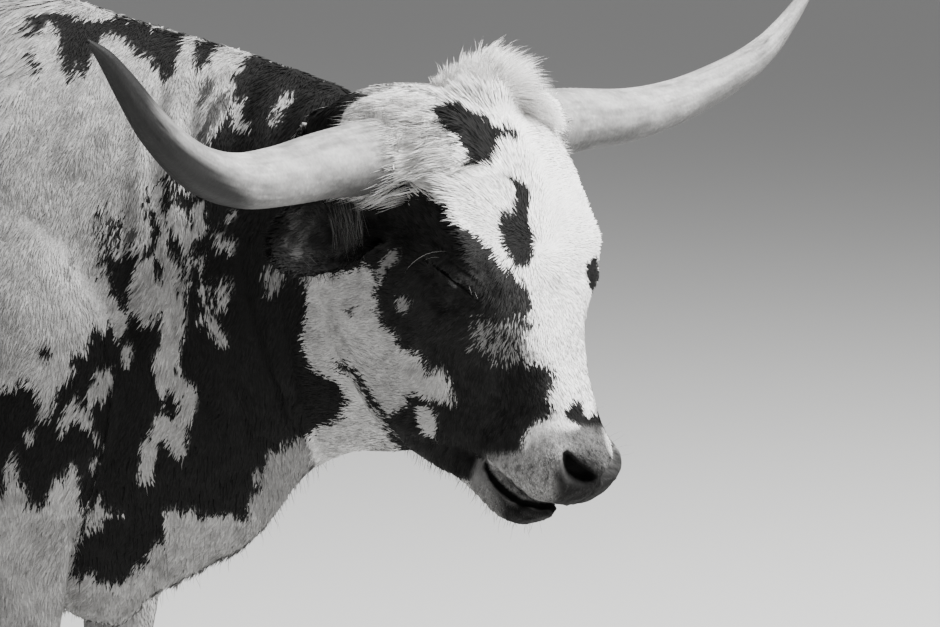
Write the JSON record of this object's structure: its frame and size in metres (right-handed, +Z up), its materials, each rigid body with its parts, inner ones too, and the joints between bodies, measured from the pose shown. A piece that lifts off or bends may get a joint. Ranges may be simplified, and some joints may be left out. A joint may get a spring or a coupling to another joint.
{
  "type": "longhorn steer",
  "caption": "Standing adult longhorn, head lowered and turned to its right, wide upswept horns, spotted coat, tufted poll.",
  "frame": {"origin": "middle of the bounding box on the ground, at the level of the soles", "axes": "+X forward along the trunk, +Y to the animal's left, +Z up"},
  "size_m": [2.3578, 1.2016, 1.3997],
  "materials": {
    "coat": "short haired hide in light grey-white with charcoal patches",
    "horn": "worn keratin, pale at the root and dark to the tip",
    "hoof": "dull dark keratin",
    "eye": "wet and dark"
  },
  "bodies": {
    "root": {"torso": "coat", "neck": "coat", "head": "coat", "ear_left": "coat", "ear_right": "coat", "eye_left": "eye", "eye_right": "eye", "horn_left": "horn", "horn_right": "horn", "tail": "coat", "foreleg_left": "coat", "hoof_fore_left_inner": "hoof", "hoof_fore_left_outer": "hoof", "foreleg_right": "coat", "hoof_fore_right_outer": "hoof", "hoof_fore_right_inner": "hoof", "hindleg_left": "coat", "hoof_hind_left_inner": "hoof", "hoof_hind_left_outer": "hoof", "hindleg_right": "coat", "hoof_hind_right_outer": "hoof", "hoof_hind_right_inner": "hoof"}
  },
  "joints": []
}
